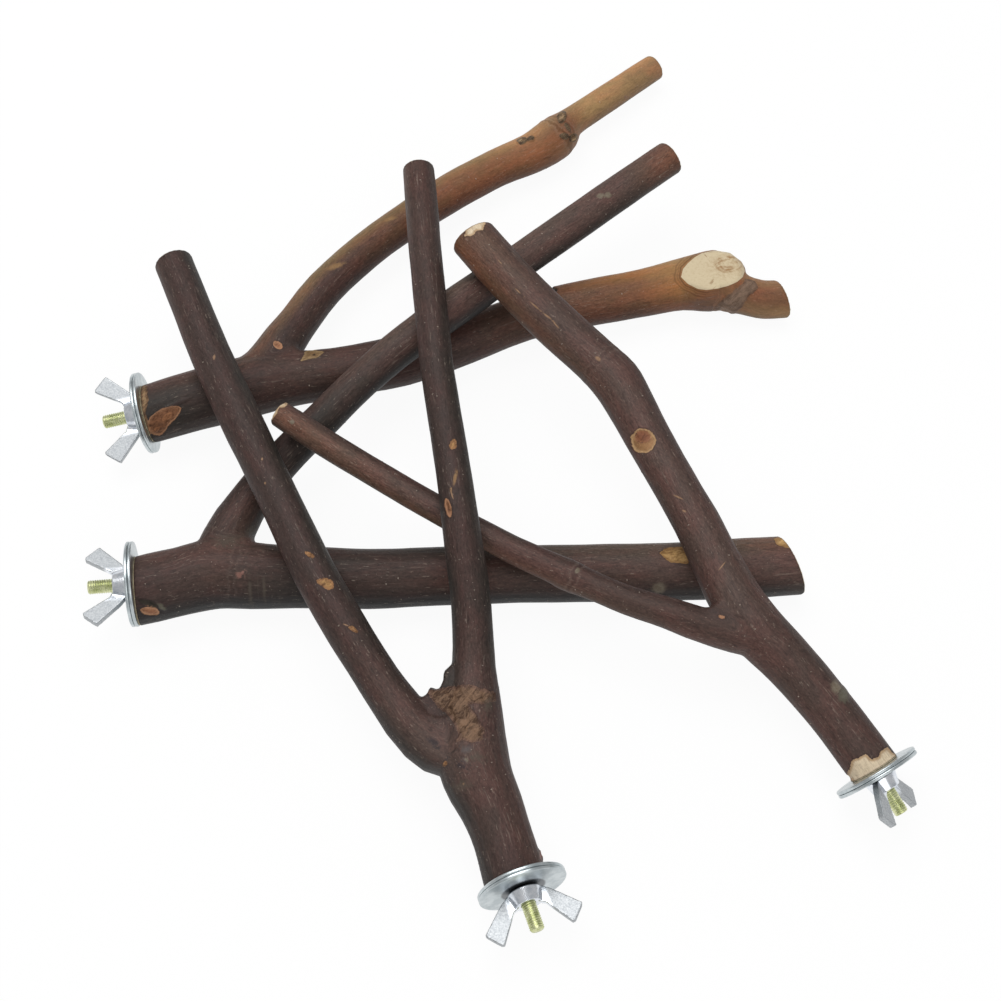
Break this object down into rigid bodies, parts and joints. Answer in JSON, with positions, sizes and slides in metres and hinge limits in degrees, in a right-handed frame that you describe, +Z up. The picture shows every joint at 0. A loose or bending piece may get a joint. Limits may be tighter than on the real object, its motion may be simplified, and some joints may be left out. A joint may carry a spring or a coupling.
{
  "type": "bird perch set",
  "caption": "Loose pile of forked natural-branch cage perches with the bark on, each fastened by a hanger bolt, wide washers and a wing nut.",
  "frame": {"origin": "on the floor under the middle of the pile's bounding box", "axes": "+X to the right and +Y away in the picture, +Z up"},
  "size_m": [0.2902, 0.3708, 0.0574],
  "materials": {
    "far_wood": "bark left on",
    "left_wood": "bark left on",
    "right_wood": "bark left on",
    "front_wood": "bark left on",
    "yellow_zinc": "yellow zinc plated",
    "bright_zinc": "bright zinc plated",
    "nut_zinc": "bright zinc plated"
  },
  "bodies": {
    "far_perch": {"far_branch": "far_wood", "far_hanger_bolt": "yellow_zinc", "far_inner_washer": "bright_zinc"},
    "far_clamp": {"far_outer_washer": "bright_zinc"},
    "far_nut": {"far_wing_nut": "nut_zinc"},
    "left_perch": {"left_branch": "left_wood", "left_hanger_bolt": "yellow_zinc", "left_inner_washer": "bright_zinc"},
    "left_clamp": {"left_outer_washer": "bright_zinc"},
    "left_nut": {"left_wing_nut": "nut_zinc"},
    "right_perch": {"right_branch": "right_wood", "right_hanger_bolt": "yellow_zinc", "right_inner_washer": "bright_zinc"},
    "right_clamp": {"right_outer_washer": "bright_zinc"},
    "right_nut": {"right_wing_nut": "nut_zinc"},
    "front_perch": {"front_branch": "front_wood", "front_hanger_bolt": "yellow_zinc", "front_inner_washer": "bright_zinc"},
    "front_clamp": {"front_outer_washer": "bright_zinc"},
    "front_nut": {"front_wing_nut": "nut_zinc"}
  },
  "joints": [
    {"name": "left_perch_lift", "type": "slide", "parent": "far_perch", "child": "left_perch", "axis": [0, 0, 1], "range_m": [0, 0.12]},
    {"name": "right_perch_lift", "type": "slide", "parent": "left_perch", "child": "right_perch", "axis": [0, 0, 1], "range_m": [0, 0.12]},
    {"name": "front_perch_lift", "type": "slide", "parent": "right_perch", "child": "front_perch", "axis": [0, 0, 1], "range_m": [0, 0.12]},
    {"name": "far_washer_slide", "type": "slide", "parent": "far_perch", "child": "far_clamp", "axis": [-0.9749, -0.1674, -0.1467], "range_m": [0, 0.0081]},
    {"name": "far_nut_turn", "type": "hinge", "parent": "far_clamp", "child": "far_nut", "pos_m": [-0.12742, 0.01312, 0.01483], "axis": [-0.9749, -0.1674, -0.1467], "range_deg": [0, 3600]},
    {"name": "left_washer_slide", "type": "slide", "parent": "left_perch", "child": "left_clamp", "axis": [-0.9956, -0.0926, 0.015], "range_m": [0, 0.0081]},
    {"name": "left_nut_turn", "type": "hinge", "parent": "left_clamp", "child": "left_nut", "pos_m": [-0.12587, -0.05645, 0.01515], "axis": [-0.9956, -0.0926, 0.015], "range_deg": [0, 3600]},
    {"name": "right_washer_slide", "type": "slide", "parent": "right_perch", "child": "right_clamp", "axis": [0.5164, -0.8086, -0.282], "range_m": [0, 0.0081]},
    {"name": "right_nut_turn", "type": "hinge", "parent": "right_clamp", "child": "right_nut", "pos_m": [0.13055, -0.12737, 0.01532], "axis": [0.5164, -0.8086, -0.282], "range_deg": [0, 3600]},
    {"name": "front_washer_slide", "type": "slide", "parent": "front_perch", "child": "front_clamp", "axis": [0.3204, -0.946, 0.0483], "range_m": [0, 0.0081]},
    {"name": "front_nut_turn", "type": "hinge", "parent": "front_clamp", "child": "front_nut", "pos_m": [0.01168, -0.16674, 0.01652], "axis": [0.3204, -0.946, 0.0483], "range_deg": [0, 3600]}
  ],
  "couplings": [
    {"joint": "far_washer_slide", "follows": "far_nut_turn", "m_per_rad": 0.00012732},
    {"joint": "left_washer_slide", "follows": "left_nut_turn", "m_per_rad": 0.00012732},
    {"joint": "right_washer_slide", "follows": "right_nut_turn", "m_per_rad": 0.00012732},
    {"joint": "front_washer_slide", "follows": "front_nut_turn", "m_per_rad": 0.00012732}
  ]
}
